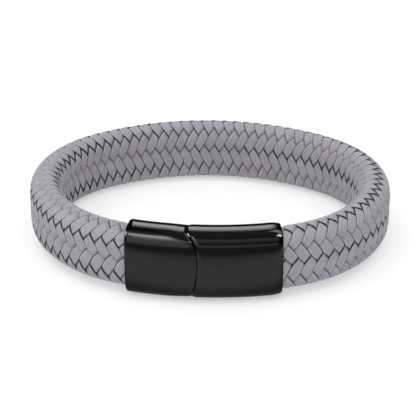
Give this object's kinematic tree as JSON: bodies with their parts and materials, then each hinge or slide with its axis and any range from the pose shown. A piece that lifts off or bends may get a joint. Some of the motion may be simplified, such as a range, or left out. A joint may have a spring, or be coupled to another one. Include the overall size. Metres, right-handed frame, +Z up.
{
  "type": "braided leather bracelet",
  "caption": "Flat braided leather band, closed into an oval loop by a gently curved magnetic clasp of black polished steel.",
  "frame": {"origin": "centre of the bounding box in plan, on the ground that the bracelet lies on", "axes": "+Z up through the wrist opening, -Y toward the clasp, +X to the right when looking at the clasp"},
  "size_m": [0.0704, 0.056, 0.0135],
  "materials": {
    "leather": "matte grey",
    "core": "matte dark grey",
    "black_steel": "black, polished",
    "magnet": "nickel plated"
  },
  "bodies": {
    "root": {"lace_up_1": "leather", "lace_up_2": "leather", "lace_up_3": "leather", "lace_up_4": "leather", "lace_up_5": "leather", "lace_up_6": "leather", "lace_up_7": "leather", "lace_up_8": "leather", "lace_down_1": "leather", "lace_down_2": "leather", "lace_down_3": "leather", "lace_down_4": "leather", "lace_down_5": "leather", "lace_down_6": "leather", "lace_down_7": "leather", "lace_down_8": "leather", "core": "core", "clasp_left": "black_steel", "clasp_right": "black_steel", "magnet": "magnet"}
  },
  "joints": []
}
